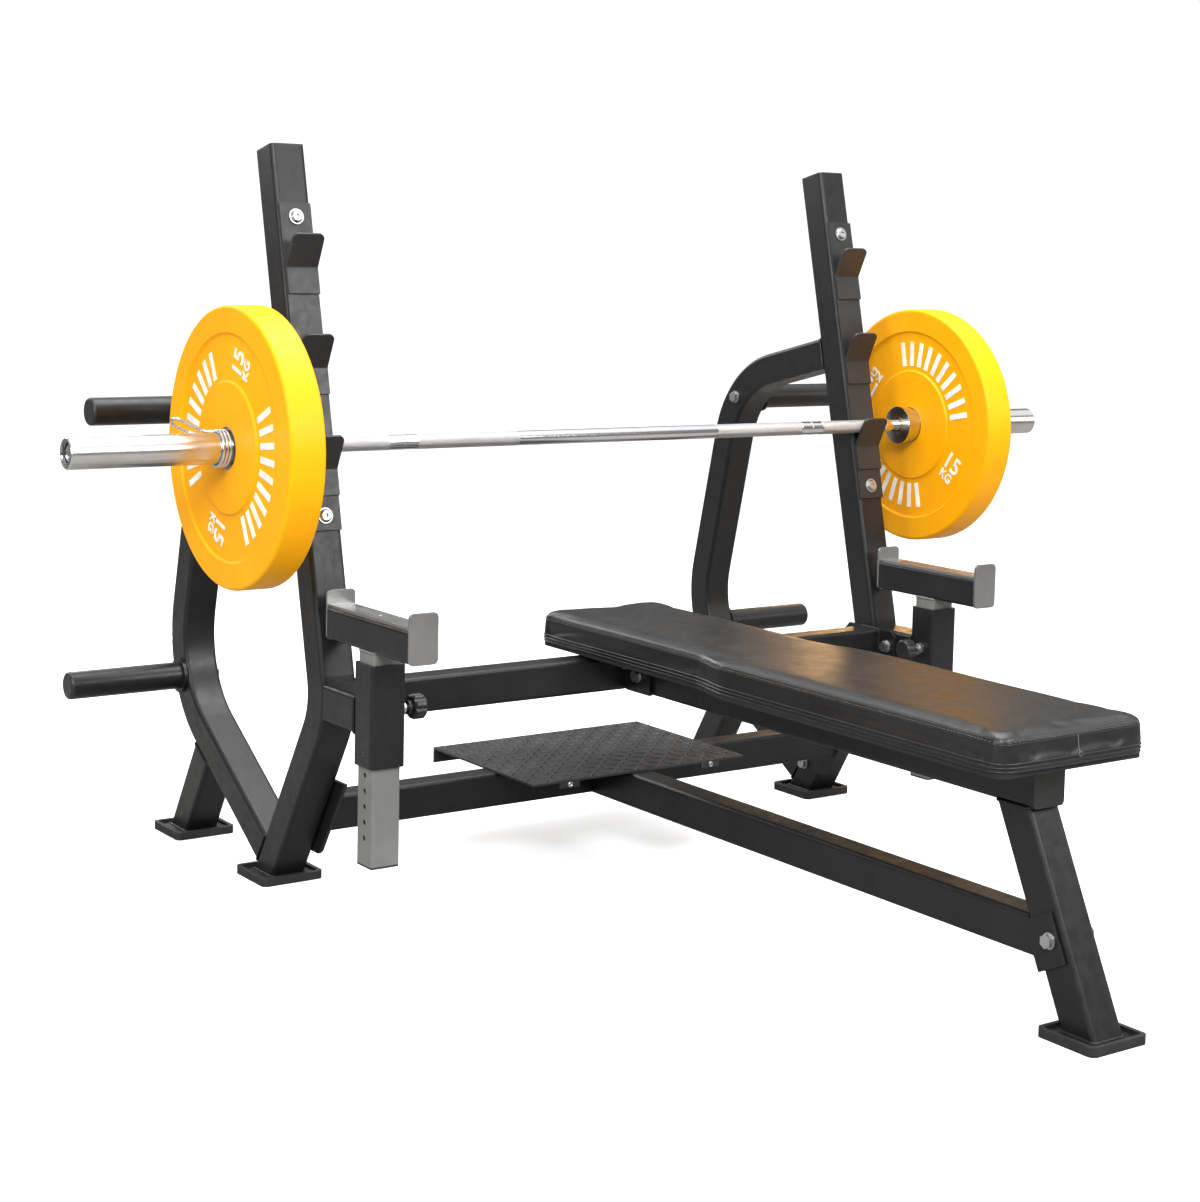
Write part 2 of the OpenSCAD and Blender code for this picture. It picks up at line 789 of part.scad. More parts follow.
module rubber_feet() {
    color("#101010") for (p = feet) translate([p[0], p[1], 0]) difference() {
        linear_extrude(foot_h) rounded_rect(foot, foot, 10);
        translate([0, 0, foot_floor]) linear_extrude(foot_h) rounded_rect(foot_plate, foot_plate, 6);
    }
}

module tube_caps() {
    color("#18181a") union() {
        both_sides() side_plane(side_x) translate(concat(front_start, 0))
            rotate([0, 0, 90 - upright_lean]) rotate([90, 0, 90]) cap();
        translate([0, rail_front, rail_top - tube / 2]) rotate([90, 0, 0]) cap();
    }
}

module cap() {
    inside = tube - 2 * tube_wall - 0.4;
    union() {
        linear_extrude(cap_t) rounded_rect(tube, tube, tube_r);
        translate([0, 0, -16]) linear_extrude(16) rounded_rect(inside, inside, tube_r - tube_wall);
    }
}

/* Barbell */

// Places children on the bar's axis, at x, with +Z along +X
module on_bar(x = 0) {
    translate([x, bar_at[0], bar_at[1]]) rotate([0, 90, 0]) children();
}

module bar_shaft() {
    color("#b9babc") difference() {
        on_bar(-shaft_end) cylinder(h = 2 * shaft_end, r = bar_r);
        both_sides() on_bar(shaft_end - 2 * ring_t) difference() {
            cylinder(h = ring_t, r = bar_r + 1);
            cylinder(h = ring_t, r = bar_r - groove_d);
        }
    }
}

module retaining_rings() {
    color("#8d8e90") both_sides() on_bar(shaft_end - 2 * ring_t) difference() {
        cylinder(h = ring_t, r = bar_r + 4);
        translate([0, 0, -1]) cylinder(h = ring_t + 2, r = bar_r - groove_d);
    }
}

module bar_sleeve(side) {
    color("#c3c4c6") mirrored(side) difference() {
        union() {
            on_bar(flange_x) cylinder(h = flange_t, r = flange_r);
            on_bar(flange_x) cylinder(h = load_x - flange_x, r = collar_r);
            on_bar(flange_x) cylinder(h = sleeve_end - flange_x - 2, r = sleeve_r);
            on_bar(sleeve_end - 2) cylinder(h = 2, r1 = sleeve_r, r2 = sleeve_r - 2);
        }
        on_bar(flange_x - 1) cylinder(h = sleeve_end, r = bush_out);
        on_bar(sleeve_end - end_recess) cylinder(h = end_recess + 1, r = end_recess_r);
    }
}

module sleeve_bushes(side) {
    color("#9c7a3c") mirrored(side)
        for (x = [flange_x, sleeve_end - end_recess - sleeve_bush_l]) on_bar(x) difference() {
            cylinder(h = sleeve_bush_l, r = bush_out);
            translate([0, 0, -1]) cylinder(h = sleeve_bush_l + 2, r = bush_bore);
        }
}

module weight_plate(side) {
    dish = plate_t / 2 - plate_dish;
    slope = 3;
    color("#f5b301") mirrored(side) on_bar(plate_x + plate_t / 2) rotate_extrude($fn = 128)
        difference() {
            union() {
                translate([hub_r, -plate_t / 2]) square([plate_r - plate_round - hub_r, plate_t]);
                translate([hub_r, plate_round - plate_t / 2])
                    square([plate_r - hub_r, plate_t - 2 * plate_round]);
                for (y = [-1, 1])
                    translate([plate_r - plate_round, y * (plate_t / 2 - plate_round)])
                        circle(plate_round);
            }
            for (y = [-1, 1]) scale([1, y]) polygon([
                [plate_rings[0], plate_t / 2 + 1], [plate_rings[0], plate_t / 2],
                [plate_rings[0] + slope, dish], [plate_rings[1] - slope, dish],
                [plate_rings[1], plate_t / 2], [plate_rings[1], plate_t / 2 + 1]
            ]);
        }
}

module plate_hub(side) {
    color("#b0b1b3") mirrored(side) on_bar(plate_x) difference() {
        cylinder(h = plate_t, r = hub_r);
        translate([0, 0, -1]) cylinder(h = plate_t + 2, r = hub_bore);
    }
}

module spring_collar(side) {
    coil_l = 2 * wire_r * collar_turns;
    coil_r = sleeve_r + collar_gap;
    bend_r = 9;
    out = coil_r + wire_r;
    color("#a8a9ab") mirrored(side) union() {
        on_bar(collar_x) difference() {
            cylinder(h = coil_l, r = coil_r + 2 * wire_r);
            translate([0, 0, -1]) cylinder(h = coil_l + 2, r = coil_r);
        }
        for (turn = handle_turns) on_bar(collar_x + coil_l - wire_r) rotate([0, 0, turn[0]])
            translate([out, 0, 0]) rotate([0, atan2(handle_rise, handle_len), 0]) {
                cylinder(h = handle_len, r = wire_r);
                translate([0, turn[1] * 2 * bend_r, handle_len / 2]) cylinder(h = handle_len / 2, r = wire_r);
                translate([0, turn[1] * bend_r, handle_len]) rotate([90, 0, 90]) rotate_extrude(angle = 180)
                    translate([bend_r, 0]) circle(wire_r);
            }
    }
}

front_frame(LEFT);  // front_frame_left
front_frame(RIGHT);  // front_frame_right
rear_frame(LEFT);  // rear_frame_left
rear_frame(RIGHT);  // rear_frame_right
rear_leg(LEFT);  // rear_leg_left
rear_leg(RIGHT);  // rear_leg_right
catch_arm(LEFT);  // catch_arm_left
catch_arm(RIGHT);  // catch_arm_right
catch_socket(LEFT);  // catch_socket_left
catch_socket(RIGHT);  // catch_socket_right
socket_liners();
liner_set_screws();
pin_bushes();
upper_crossbar();
lower_crossbar();
hook_rack(LEFT);  // hook_rack_left
hook_rack(RIGHT);  // hook_rack_right
button_bolts();
hex_bolts();
tube_caps();
horn(LEFT, 0);  // horn_upper_left
horn(RIGHT, 0);  // horn_upper_right
horn(LEFT, 1);  // horn_lower_left
horn(RIGHT, 1);  // horn_lower_right
horn_caps();
bench_rail();
bench_leg();
lower_beam();
pad_brackets();
pad_board();
pad_cushion();
pad_screws();
standing_plate();
foot_plates();
rubber_feet();
catch_post(LEFT);  // catch_post_left
catch_post(RIGHT);  // catch_post_right
catch_cradle(LEFT);  // catch_cradle_left
catch_cradle(RIGHT);  // catch_cradle_right
cradle_plates(LEFT);  // cradle_plates_left
cradle_plates(RIGHT);  // cradle_plates_right
post_plug(LEFT);  // post_plug_left
post_plug(RIGHT);  // post_plug_right
pull_pin(LEFT);  // pull_pin_left
pull_pin(RIGHT);  // pull_pin_right
pull_knob(LEFT);  // pull_knob_left
pull_knob(RIGHT);  // pull_knob_right
bar_shaft();
retaining_rings();
bar_sleeve(LEFT);  // bar_sleeve_left
bar_sleeve(RIGHT);  // bar_sleeve_right
sleeve_bushes(LEFT);  // sleeve_bushes_left
sleeve_bushes(RIGHT);  // sleeve_bushes_right
weight_plate(LEFT);  // weight_plate_left
weight_plate(RIGHT);  // weight_plate_right
plate_hub(LEFT);  // plate_hub_left
plate_hub(RIGHT);  // plate_hub_right
spring_collar(LEFT);  // spring_collar_left
spring_collar(RIGHT);  // spring_collar_right
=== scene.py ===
"""Looks of the olympic bench press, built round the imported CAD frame. Lengths are in metres."""
import json
import math

import bmesh
import bpy
from mathutils import Matrix, Vector
from mathutils.bvhtree import BVHTree
from mathutils.noise import noise as perlin


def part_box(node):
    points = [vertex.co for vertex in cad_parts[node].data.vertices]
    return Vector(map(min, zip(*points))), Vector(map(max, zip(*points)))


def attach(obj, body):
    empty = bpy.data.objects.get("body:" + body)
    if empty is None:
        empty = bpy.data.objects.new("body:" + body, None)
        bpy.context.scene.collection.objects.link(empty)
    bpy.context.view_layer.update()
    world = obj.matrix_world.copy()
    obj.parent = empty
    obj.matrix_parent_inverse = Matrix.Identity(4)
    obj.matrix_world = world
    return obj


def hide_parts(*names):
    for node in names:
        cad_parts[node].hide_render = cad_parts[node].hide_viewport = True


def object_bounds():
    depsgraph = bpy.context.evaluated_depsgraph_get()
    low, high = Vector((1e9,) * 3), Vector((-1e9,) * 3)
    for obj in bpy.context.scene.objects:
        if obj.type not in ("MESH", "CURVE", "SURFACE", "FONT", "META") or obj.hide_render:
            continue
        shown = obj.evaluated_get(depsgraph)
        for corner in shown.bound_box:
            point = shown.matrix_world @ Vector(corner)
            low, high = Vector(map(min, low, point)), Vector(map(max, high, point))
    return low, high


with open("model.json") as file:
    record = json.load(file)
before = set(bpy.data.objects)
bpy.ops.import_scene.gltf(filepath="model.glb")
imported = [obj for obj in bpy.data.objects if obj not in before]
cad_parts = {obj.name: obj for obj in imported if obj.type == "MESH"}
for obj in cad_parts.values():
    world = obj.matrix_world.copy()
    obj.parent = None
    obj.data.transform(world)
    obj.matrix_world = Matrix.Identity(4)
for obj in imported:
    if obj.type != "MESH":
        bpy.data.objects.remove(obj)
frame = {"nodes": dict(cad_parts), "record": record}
NODES = frame["nodes"]
cad_low, cad_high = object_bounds()
SIDES = {"left": -1, "right": 1}
X, Y, Z = Vector((1, 0, 0)), Vector((0, 1, 0)), Vector((0, 0, 1))

# Camera, at the photograph's viewing angle: azimuth, pitch and roll in degrees, focal length in
# pixels of the image's long side
FRAME_LONG = 1202
SENSOR = 36
CAMERA_AT = Vector((-2.26489, -2.94912, 1.07783))
CAMERA_TURN = (-37.36, 5.15, 1.54)
CAMERA_FOCAL = 2267.6
CAMERA_SHIFT = (-0.1103, -0.1238)

# Sizes repeated from the CAD part
SIDE_X = 0.58
TUBE = 0.06
LEG_LEAN = math.radians(31.5)
BENCH_LEAN = math.radians(25.6)
UPRIGHT_LEAN = math.radians(13.3)
FOOT_TOP = 0.009
FRONT_FOOT_Y = 0.49
REAR_FOOT_Y = 0.837
BENCH_FOOT_Y = -0.837
KNEE_Z = 0.32
KNEE_RISE = 0.311
REAR_JOIN_DROP = 0.286
REAR_TOP_Y, REAR_TOP_Z = 0.745, 0.81
UPPER_BAR_Y, LOWER_BAR_Y = 0.283, 0.401
CROSSBAR_WIDE = 0.05
END_PLATE = 0.006
CATCH_Y = 0.146
CATCH_POST = 0.05
RAIL_TOP = 0.366
BEAM_TOP = 0.156
STRIP_RISE = 0.0031
SLEEVE_R = 0.02508
KNURL_BANDS = ((0.212, 0.407), (0.462, 0.618))

# Directions in a side frame: down and square to the leaning legs, up and square to the upright
LEG_DOWN = Vector((0, math.sin(LEG_LEAN), -math.cos(LEG_LEAN)))
LEG_BACK = Vector((0, math.cos(LEG_LEAN), math.sin(LEG_LEAN)))
UP = Vector((0, math.sin(UPRIGHT_LEAN), math.cos(UPRIGHT_LEAN)))
OUT = Vector((0, -math.cos(UPRIGHT_LEAN), math.sin(UPRIGHT_LEAN)))
KNEE = Vector((0, FRONT_FOOT_Y - KNEE_RISE * math.tan(LEG_LEAN), KNEE_Z))

bar_low, bar_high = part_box("bar_shaft")
BAR_AT = (bar_low + bar_high) / 2
BAR_R = (bar_high.z - bar_low.z) / 2


# ---------------------------------------------------------------- materials
class Shader:
    """A Principled material and short ways to add nodes to it."""

    def __init__(self, name, color, rough, metal=0.0, **inputs):
        self.material = bpy.data.materials.new(name)
        self.material.use_nodes = True
        self.tree = self.material.node_tree
        self.bsdf = self.tree.nodes["Principled BSDF"]
        self.bsdf.inputs["Base Color"].default_value = (*color, 1)
        self.bsdf.inputs["Roughness"].default_value = rough
        self.bsdf.inputs["Metallic"].default_value = metal
        for key, value in inputs.items():
            self.bsdf.inputs[key.replace("_", " ")].default_value = value
        self.coord = self.add("ShaderNodeTexCoord").outputs["Object"]

    def add(self, kind, **props):
        node = self.tree.nodes.new(kind)
        for key, value in props.items():
            setattr(node, key, value)
        return node

    def link(self, source, target):
        self.tree.links.new(source, target)

    def set(self, name, output):
        self.link(output, self.bsdf.inputs[name])

    def scaled(self, scale):
        node = self.add("ShaderNodeMapping")
        node.inputs["Scale"].default_value = scale
        self.link(self.coord, node.inputs["Vector"])
        return node.outputs["Vector"]

    def noise(self, scale, detail=3.0, rough=0.55, stretch=(1, 1, 1)):
        node = self.add("ShaderNodeTexNoise")
        node.inputs["Scale"].default_value = scale
        node.inputs["Detail"].default_value = detail
        node.inputs["Roughness"].default_value = rough
        self.link(self.scaled(stretch), node.inputs["Vector"])
        return node.outputs["Fac"]

    def cells(self, scale, feature="F1"):
        node = self.add("ShaderNodeTexVoronoi", feature=feature)
        node.inputs["Scale"].default_value = scale
        self.link(self.scaled((1, 1, 1)), node.inputs["Vector"])
        return node.outputs["Distance"]

    def math(self, operation, *values):
        """A Math node on numbers and other nodes' outputs."""
        node = self.add("ShaderNodeMath", operation=operation)
        for socket, value in zip(node.inputs, values):
            if isinstance(value, (int, float)):
                socket.default_value = value
            else:
                self.link(value, socket)
        return node.outputs[0]

    def ramp(self, value, low, high, start=0.0, end=1.0):
        """Stretches the part of a value between low and high to start and end."""
        node = self.add("ShaderNodeMapRange")
        self.link(value, node.inputs["Value"])
        limits = {"From Min": low, "From Max": high, "To Min": start, "To Max": end}
        for key, number in limits.items():
            node.inputs[key].default_value = number
        return node.outputs["Result"]

    def mix(self, factor, one, two):
        """Mixes two colours, where the first may be another node's output."""
        node = self.add("ShaderNodeMix", data_type="RGBA")
        self.link(factor, node.inputs["Factor"])
        if isinstance(one, bpy.types.NodeSocket):
            self.link(one, node.inputs["A"])
        else:
            node.inputs["A"].default_value = (*one, 1)
        node.inputs["B"].default_value = (*two, 1)
        return node.outputs["Result"]

    def uneven_rough(self, value, low, high):
        """Roughness between two limits, from a noise that mostly lies between 0.3 and 0.7."""
        self.set("Roughness", self.ramp(value, 0.3, 0.7, low, high))

    def bump(self, height, strength, distance, soften=0.0):
        """Bump from a height, and edges that look softened by a radius."""
        node = self.add("ShaderNodeBump")
        node.inputs["Strength"].default_value = strength
        node.inputs["Distance"].default_value = distance
        self.link(height, node.inputs["Height"])
        if soften:
            edge = self.add("ShaderNodeBevel", samples=4)
            edge.inputs["Radius"].default_value = soften
            self.link(edge.outputs["Normal"], node.inputs["Normal"])
        self.set("Normal", node.outputs["Normal"])


def powder_coat(name, color, light, rough, soften=0.0012, grain=0.25, shine=0.4):
    s = Shader(name, color, rough, Specular_IOR_Level=shine)
    patches = s.ramp(s.noise(7, 4), 0.35, 0.7)
    s.set("Base Color", s.mix(patches, color, light))
    s.uneven_rough(s.noise(60, 3), rough - 0.06, rough + 0.08)
    s.bump(s.noise(1500, 2), grain, 0.00025, soften)
    return s.material


def plastic(name, color, rough, grain=0.3, scale=2600):
    s = Shader(name, color, rough)
    patches = s.ramp(s.noise(30, 3), 0.35, 0.7)
    s.set("Base Color", s.mix(patches, color, [c * 1.5 + 0.002 for c in color]))
    s.uneven_rough(s.noise(90, 2), rough - 0.07, rough + 0.07)
    s.bump(s.cells(scale), grain, 0.0002, 0.001)
    return s.material


def bright_metal(name, color, rough, stretch=(1, 1, 1), scratch=0.12, soften=0.0006):
    s = Shader(name, color, rough, 1.0)
    lines = s.noise(300, 4, 0.6, stretch)
    patches = s.ramp(s.noise(25, 3), 0.3, 0.75)
    s.set("Base Color", s.mix(patches, color, [c * 0.86 for c in color]))
    s.uneven_rough(lines, rough * 0.85, rough * 1.25)
    s.bump(lines, scratch, 0.0001, soften)
    return s.material


def knurled_chrome():
    """Chrome with crossed knurling round the bar in bands along X, with painted shade darkening the
    knurl's grooves.
    """
    ridges = 42.0
    s = Shader("bar_chrome", (0.72, 0.72, 0.73), 0.2, 1.0)
    part = s.add("ShaderNodeSeparateXYZ")
    s.link(s.coord, part.inputs[0])
    x, y, z = part.outputs
    angle = s.math("ARCTAN2", s.math("SUBTRACT", z, BAR_AT.z), s.math("SUBTRACT", y, BAR_AT.y))
    round_way = s.math("MULTIPLY", angle, ridges)
    along = s.math("MULTIPLY", x, ridges / BAR_R)
    one = s.math("ABSOLUTE", s.math("SINE", s.math("ADD", round_way, along)))
    two = s.math("ABSOLUTE", s.math("SINE", s.math("SUBTRACT", round_way, along)))
    height = s.math("MULTIPLY", one, two)
    away = s.math("ABSOLUTE", x)
    bands = [s.math("MULTIPLY", s.math("GREATER_THAN", away, start), s.math("LESS_THAN", away, end))
             for start, end in KNURL_BANDS]
    mask = s.math("ADD", *bands)
    # Painted shade: in the knurled bands the base colour is mixed towards dark grey (0.16) where
    # the grooves between the ridges lie.
    groove_shade = s.math("MULTIPLY", mask, s.math("SUBTRACT", 1.0, height))
    plain = s.mix(s.noise(30), (0.74, 0.74, 0.75), (0.62, 0.62, 0.63))
    s.set("Base Color", s.mix(s.math("MULTIPLY", groove_shade, 0.55), plain, (0.16, 0.16, 0.16)))
    s.set("Roughness", s.math("MULTIPLY_ADD", mask, 0.16, 0.17))
    s.bump(s.math("MULTIPLY", mask, height), 0.6, 0.0004)
    return s.material


def rubber_yellow():
    s = Shader("yellow_rubber", (1.0, 0.42, 0.0), 0.42, Specular_IOR_Level=0.2)
    patches = s.ramp(s.noise(9, 5, 0.6), 0.3, 0.75)
    base = s.mix(patches, (1.0, 0.45, 0.0), (1.0, 0.39, 0.0))
    scuffs = s.ramp(s.noise(38, 6, 0.7, (1, 2.5, 2.5)), 0.66, 0.78)
    s.set("Base Color", s.mix(s.math("MULTIPLY", scuffs, 0.3), base, (0.62, 0.24, 0.0)))
    s.uneven_rough(s.noise(70, 3), 0.34, 0.52)
    s.bump(s.noise(900, 3), 0.18, 0.0003, 0.0012)
    return s.material


def vinyl():
    """Black vinyl, with an embossed leather grain."""
    s = Shader("black_vinyl", (0.012, 0.012, 0.0125), 0.36, Specular_IOR_Level=0.5,
               Coat_Weight=0.10, Coat_Roughness=0.24)
    grain = s.ramp(s.cells(520, "DISTANCE_TO_EDGE"), 0.0, 0.35)
    height = s.math("ADD", grain, s.math("MULTIPLY", s.noise(1800, 2), 0.25))
    patches = s.ramp(s.noise(5, 3), 0.3, 0.7)
    s.set("Base Color", s.mix(patches, (0.0065, 0.0065, 0.007), (0.011, 0.0108, 0.0108)))
    s.uneven_rough(s.noise(24, 4), 0.30, 0.44)
    s.bump(height, 0.22, 0.00025)
    return s.material


def covered_board():
    """Black cover cloth stapled under the board, with a woven grain."""
    s = Shader("black_board", (0.010, 0.010, 0.010), 0.8)
    threads = s.math("ABSOLUTE", s.math("SINE", s.noise(900, 2)))
    weave = s.math("MULTIPLY", threads, s.noise(700, 2, 0.5, (1, 3, 1)))
    patches = s.ramp(s.noise(14, 3), 0.3, 0.7)
    s.set("Base Color", s.mix(patches, (0.008, 0.008, 0.008), (0.014, 0.0138, 0.0135)))
    s.bump(weave, 0.4, 0.0003)
    return s.material


# The paints' two colours are those of their darker and lighter patches
MATERIALS = {
    "frame_paint": powder_coat("frame_paint", (0.0065, 0.0066, 0.007), (0.0115, 0.0116, 0.012),
                               0.36),
    "rack_paint": powder_coat("rack_paint", (0.016, 0.0161, 0.0165), (0.026, 0.0261, 0.027),
                              0.36, 0.0008),
    "horn_paint": powder_coat("horn_paint", (0.006, 0.006, 0.0063), (0.011, 0.011, 0.0115), 0.34),
    "tread_paint": powder_coat("tread_paint", (0.030, 0.030, 0.031), (0.05, 0.05, 0.052),
                               0.38, 0.0006),
    "post_grey": powder_coat("post_grey", (0.15, 0.15, 0.147), (0.22, 0.22, 0.215), 0.34),
    "cradle_dark": powder_coat("cradle_dark", (0.007, 0.0078, 0.009), (0.014, 0.015, 0.0165),
                               0.20, grain=0.06, shine=0.28),
    "liner_plastic": plastic("liner_plastic", (0.015, 0.015, 0.015), 0.5),
    "black_plastic": plastic("black_plastic", (0.012, 0.012, 0.012), 0.42),
    "knob_plastic": plastic("knob_plastic", (0.010, 0.010, 0.010), 0.34),
    "black_rubber": plastic("black_rubber", (0.013, 0.013, 0.013), 0.62, 0.45, 1500),
    "black_steel": bright_metal("black_steel", (0.20, 0.20, 0.20), 0.35),
    "zinc_steel": bright_metal("zinc_steel", (0.50, 0.505, 0.51), 0.36),
    "plate_silver": bright_metal("plate_silver", (0.42, 0.42, 0.415), 0.34, (1, 0.04, 1), 0.01),
    "chrome": bright_metal("chrome", (0.66, 0.655, 0.645), 0.21, (0.2, 3, 3), 0.05),
    "bar_chrome": knurled_chrome(),
    "ring_steel": bright_metal("ring_steel", (0.36, 0.36, 0.37), 0.35),
    "bush_bronze": bright_metal("bush_bronze", (0.52, 0.34, 0.15), 0.32),
    "hub_steel": bright_metal("hub_steel", (0.42, 0.42, 0.43), 0.30),
    "spring_steel": bright_metal("spring_steel", (0.70, 0.70, 0.71), 0.16, (1, 1, 1), 0.06, 0.0),
    "yellow_rubber": rubber_yellow(),
    "black_vinyl": vinyl(),
    "black_board": covered_board(),
    "white_mark": plastic("white_mark", (0.78, 0.77, 0.74), 0.45, 0.15),
    "thread": plastic("thread", (0.10, 0.10, 0.098), 0.6, 0.5),
}

for entry in frame["record"]["subparts"]:
    node = NODES[entry["node"]]
    node.data.materials.clear()
    node.data.materials.append(MATERIALS[entry["material_slot"]])


# ---------------------------------------------------------------- mesh helpers
def add_object(name, data):
    obj = bpy.data.objects.new(name, data)
    bpy.context.scene.collection.objects.link(obj)
    return obj


def piece(name, bm, material, body, smooth=True):
    mesh = bpy.data.meshes.new(name)
    bmesh.ops.recalc_face_normals(bm, faces=bm.faces)
    bm.to_mesh(mesh)
    bm.free()
    if smooth:
        mesh.shade_smooth()
    mesh.materials.append(MATERIALS[material])
    obj = add_object(name, mesh)
    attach(obj, body)


def oriented(x_axis, y_axis, z_axis, at):
    """The matrix that stands an object at a point, with its axes along three directions."""
    return Matrix((
        (x_axis.x, y_axis.x, z_axis.x, at.x),
        (x_axis.y, y_axis.y, z_axis.y, at.y),
        (x_axis.z, y_axis.z, z_axis.z, at.z),
        (0, 0, 0, 1)))


def circle(count):
    """Evenly spaced angles of a full turn."""
    return [2 * math.pi * k / count for k in range(count)]


def round_bar(x, radius, angle):
    """A point round the bar's axis."""
    return Vector((x, BAR_AT.y + radius * math.cos(angle), BAR_AT.z + radius * math.sin(angle)))


def bridge(bm, loops):
    """Faces between neighbouring loops of as many points each."""
    count = len(loops[0])
    for one, two in zip(loops, loops[1:]):
        for k in range(count):
            after = (k + 1) % count
            bm.faces.new((one[k], one[after], two[after], two[k]))


def tube_rings(bm, points, radius, sides=8, closed=False):
    """Sweeps a round tube along points, carrying its twist from ring to ring.

    The radius is one number, or a list with one for each point.
    """
    count = len(points)
    rings = []
    normal = None
    for i, p in enumerate(points):
        before = points[i - 1] if i or closed else p
        after = points[(i + 1) % count] if i < count - 1 or closed else p
        tangent = (after - before).normalized()
        if normal is None:
            normal = tangent.orthogonal().normalized()
        normal = (normal - tangent * normal.dot(tangent)).normalized()
        other = tangent.cross(normal)
        r = radius[i] if isinstance(radius, list) else radius
        rings.append([bm.verts.new(p + (normal * math.cos(a) + other * math.sin(a)) * r)
                      for a in circle(sides)])
    first, last = rings[0], rings[-1]
    if closed:
        shift = min(range(sides), key=lambda k: (last[0].co - first[k].co).length)
        bridge(bm, rings + [first[shift:] + first[:shift]])
    else:
        bridge(bm, rings)
        bm.faces.new(first[::-1])
        bm.faces.new(last)


def resample(points, step):
    """Points a fixed distance apart round a closed path."""
    out, carry = [], 0.0
    for a, b in zip(points, points[1:] + points[:1]):
        length = (b - a).length
        at = carry
        while at < length:
            out.append(a.lerp(b, at / length))
            at += step
        carry = at - length
    return out


def rounded_loop(w, h, r, steps=4):
    """Corner-rounded rectangle in a plane, as (a, b) pairs."""
    out = []
    for i, (sx, sy) in enumerate(((1, 1), (-1, 1), (-1, -1), (1, -1))):
        for k in range(steps + 1):
            a = math.pi / 2 * (i + k / steps)
            out.append((sx * (w / 2 - r) + r * math.cos(a), sy * (h / 2 - r) + r * math.sin(a)))
    return out


# ---------------------------------------------------------------- welds
RIPPLE_STEP = 0.0022
RIPPLE_TURN = 1.15
FOOT_BEAD, TUBE_BEAD, PLATE_BEAD, CATCH_BEAD = 0.003, 0.0024, 0.0022, 0.002


def weld(bm, centre, across, along, w, h, bead=TUBE_BEAD, r=0.006):
    """A rippled weld bead round a rectangular tube's end, in the plane of two directions."""
    corners = [centre + across * a + along * b for a, b in rounded_loop(w, h, r)]
    points = resample(corners, RIPPLE_STEP)
    radii = [bead * (0.86 + 0.2 * abs(math.sin(i * RIPPLE_TURN)) + 0.14 * perlin(p * 90))
             for i, p in enumerate(points)]
    tube_rings(bm, points, radii, 6, True)


def frame_welds():
    bm = bmesh.new()
    half = TUBE / 2
    leg_deep = TUBE / math.cos(LEG_LEAN)
    bench_deep = TUBE / math.cos(BENCH_LEAN)
    rear_low, rear_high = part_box("rear_leg_right")
    root = KNEE + LEG_DOWN * (REAR_JOIN_DROP / math.cos(LEG_LEAN)) + LEG_BACK * TUBE / 2
    reach = (Vector((0, REAR_TOP_Y, REAR_TOP_Z)) - KNEE).dot(UP)
    join = KNEE + UP * reach - OUT * TUBE / 2
    middle = Vector((0, rear_low.y + 0.5 * TUBE * math.cos(LEG_LEAN),
                     rear_high.z - 0.5 * TUBE * math.sin(LEG_LEAN)))
    for side in SIDES.values():
        x = side * SIDE_X
        for y in (FRONT_FOOT_Y, REAR_FOOT_Y):
            weld(bm, Vector((x, y, FOOT_TOP)), X, Y, TUBE, leg_deep, FOOT_BEAD)
        weld(bm, Vector((x, CATCH_Y + half, RAIL_TOP - half)), X, Z, TUBE, TUBE)
        weld(bm, Vector((x, root.y, root.z)), X, LEG_DOWN, TUBE, TUBE)
        weld(bm, Vector((x, join.y, join.z)), X, UP, TUBE, TUBE)
        weld(bm, Vector((x, middle.y, middle.z)), X, LEG_BACK, TUBE, TUBE)
        inner = side * (SIDE_X - half - END_PLATE)
        for y, top in ((UPPER_BAR_Y, RAIL_TOP), (LOWER_BAR_Y, BEAM_TOP)):
            weld(bm, Vector((inner, y, top - half)), Y, Z, CROSSBAR_WIDE, TUBE, PLATE_BEAD)
    weld(bm, Vector((0, BENCH_FOOT_Y, FOOT_TOP)), X, Y, TUBE, bench_deep, FOOT_BEAD)
    leg_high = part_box("bench_leg")[1]
    leg_top = Vector((0, leg_high.y - TUBE / 2 / math.cos(BENCH_LEAN), leg_high.z))
    weld(bm, leg_top, X, Y, TUBE, bench_deep)
    piece("frame_welds", bm, "frame_paint", "rack")


def catch_welds():
    for name, side in SIDES.items():
        bm = bmesh.new()
        at = Vector((side * SIDE_X, CATCH_Y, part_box(f"catch_cradle_{name}")[0].z))
        weld(bm, at, X, Y, CATCH_POST, CATCH_POST, CATCH_BEAD, 0.005)
        piece(f"catch_weld_{name}", bm, "post_grey", f"catch_{name}")


# ---------------------------------------------------------------- standing plate tread
TREAD_PITCH = 0.0236
TREAD_HALF_LONG, TREAD_HALF_WIDE, TREAD_RISE = 0.0115, 0.0034, 0.0019
TREAD_OUTLINE = ((1, 0), (0.45, 1), (-0.45, 1), (-1, 0), (-0.45, -1), (0.45, -1))
TREAD_TOP_LONG, TREAD_TOP_WIDE = 0.78, 0.45


